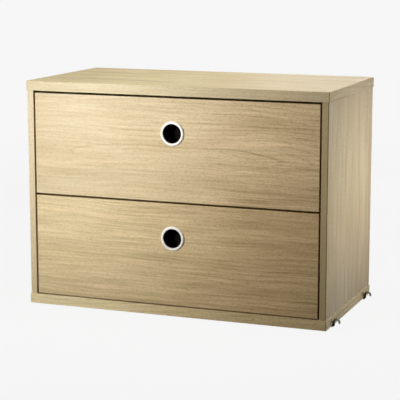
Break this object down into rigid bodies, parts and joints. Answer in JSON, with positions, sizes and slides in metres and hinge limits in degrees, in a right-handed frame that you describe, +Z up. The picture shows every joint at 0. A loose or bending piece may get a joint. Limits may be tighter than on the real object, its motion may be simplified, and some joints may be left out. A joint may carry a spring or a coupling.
{
  "type": "drawer cabinet",
  "caption": "Low drawer cabinet in oak-veneered board, with stacked flush drawers on ball runners, round finger pulls and wire hooks under its ends.",
  "frame": {"origin": "middle of the closed cabinet's bounding box, at the underside of the hook wires it stands on", "axes": "+X to the right, seen from the front; -Y is the front, the way the drawers open; +Z up"},
  "size_m": [0.609, 0.3014, 0.4225],
  "materials": {
    "oak_veneer": "pale oak, matt lacquer",
    "drawer_board": "pale birch, matt",
    "back_board": "thin plywood, matt",
    "beech_dowel": "fluted beech",
    "white_plastic": "smooth",
    "black_plastic": "fine matt",
    "runner_steel": "zinc plated",
    "cage_steel": "zinc plated",
    "ball_steel": "polished",
    "zinc_screw": "zinc plated",
    "hook_wire": "bent steel wire"
  },
  "bodies": {
    "carcass": {"top_panel": "oak_veneer", "bottom_panel": "oak_veneer", "left_side_panel": "oak_veneer", "right_side_panel": "oak_veneer", "back_panel": "back_board", "carcass_dowels": "beech_dowel", "cabinet_runner_screws": "zinc_screw", "front_left_hook": "hook_wire", "front_right_hook": "hook_wire", "back_left_hook": "hook_wire", "back_right_hook": "hook_wire", "upper_left_cabinet_runner": "runner_steel", "upper_right_cabinet_runner": "runner_steel", "lower_left_cabinet_runner": "runner_steel", "lower_right_cabinet_runner": "runner_steel"},
    "upper_drawer": {"upper_drawer_front": "oak_veneer", "upper_drawer_left_side": "drawer_board", "upper_drawer_right_side": "drawer_board", "upper_drawer_back": "drawer_board", "upper_drawer_bottom": "back_board", "upper_drawer_dowels": "beech_dowel", "upper_finger_ring": "white_plastic", "upper_finger_cup": "black_plastic", "upper_left_drawer_runner": "runner_steel", "upper_right_drawer_runner": "runner_steel", "upper_drawer_runner_screws": "zinc_screw"},
    "upper_left_cage": {"upper_left_ball_cage": "cage_steel", "upper_left_runner_balls": "ball_steel"},
    "upper_right_cage": {"upper_right_ball_cage": "cage_steel", "upper_right_runner_balls": "ball_steel"},
    "lower_drawer": {"lower_drawer_front": "oak_veneer", "lower_drawer_left_side": "drawer_board", "lower_drawer_right_side": "drawer_board", "lower_drawer_back": "drawer_board", "lower_drawer_bottom": "back_board", "lower_drawer_dowels": "beech_dowel", "lower_finger_ring": "white_plastic", "lower_finger_cup": "black_plastic", "lower_left_drawer_runner": "runner_steel", "lower_right_drawer_runner": "runner_steel", "lower_drawer_runner_screws": "zinc_screw"},
    "lower_left_cage": {"lower_left_ball_cage": "cage_steel", "lower_left_runner_balls": "ball_steel"},
    "lower_right_cage": {"lower_right_ball_cage": "cage_steel", "lower_right_runner_balls": "ball_steel"}
  },
  "joints": [
    {"name": "upper_drawer_slide", "type": "slide", "parent": "carcass", "child": "upper_drawer", "axis": [0, -1, 0], "range_m": [0, 0.18]},
    {"name": "upper_left_cage_slide", "type": "slide", "parent": "carcass", "child": "upper_left_cage", "axis": [0, -1, 0], "range_m": [0, 0.09]},
    {"name": "upper_right_cage_slide", "type": "slide", "parent": "carcass", "child": "upper_right_cage", "axis": [0, -1, 0], "range_m": [0, 0.09]},
    {"name": "lower_drawer_slide", "type": "slide", "parent": "carcass", "child": "lower_drawer", "axis": [0, -1, 0], "range_m": [0, 0.18]},
    {"name": "lower_left_cage_slide", "type": "slide", "parent": "carcass", "child": "lower_left_cage", "axis": [0, -1, 0], "range_m": [0, 0.09]},
    {"name": "lower_right_cage_slide", "type": "slide", "parent": "carcass", "child": "lower_right_cage", "axis": [0, -1, 0], "range_m": [0, 0.09]}
  ],
  "couplings": [
    {"joint": "upper_left_cage_slide", "follows": "upper_drawer_slide", "ratio": 0.5},
    {"joint": "upper_right_cage_slide", "follows": "upper_drawer_slide", "ratio": 0.5},
    {"joint": "lower_left_cage_slide", "follows": "lower_drawer_slide", "ratio": 0.5},
    {"joint": "lower_right_cage_slide", "follows": "lower_drawer_slide", "ratio": 0.5}
  ]
}
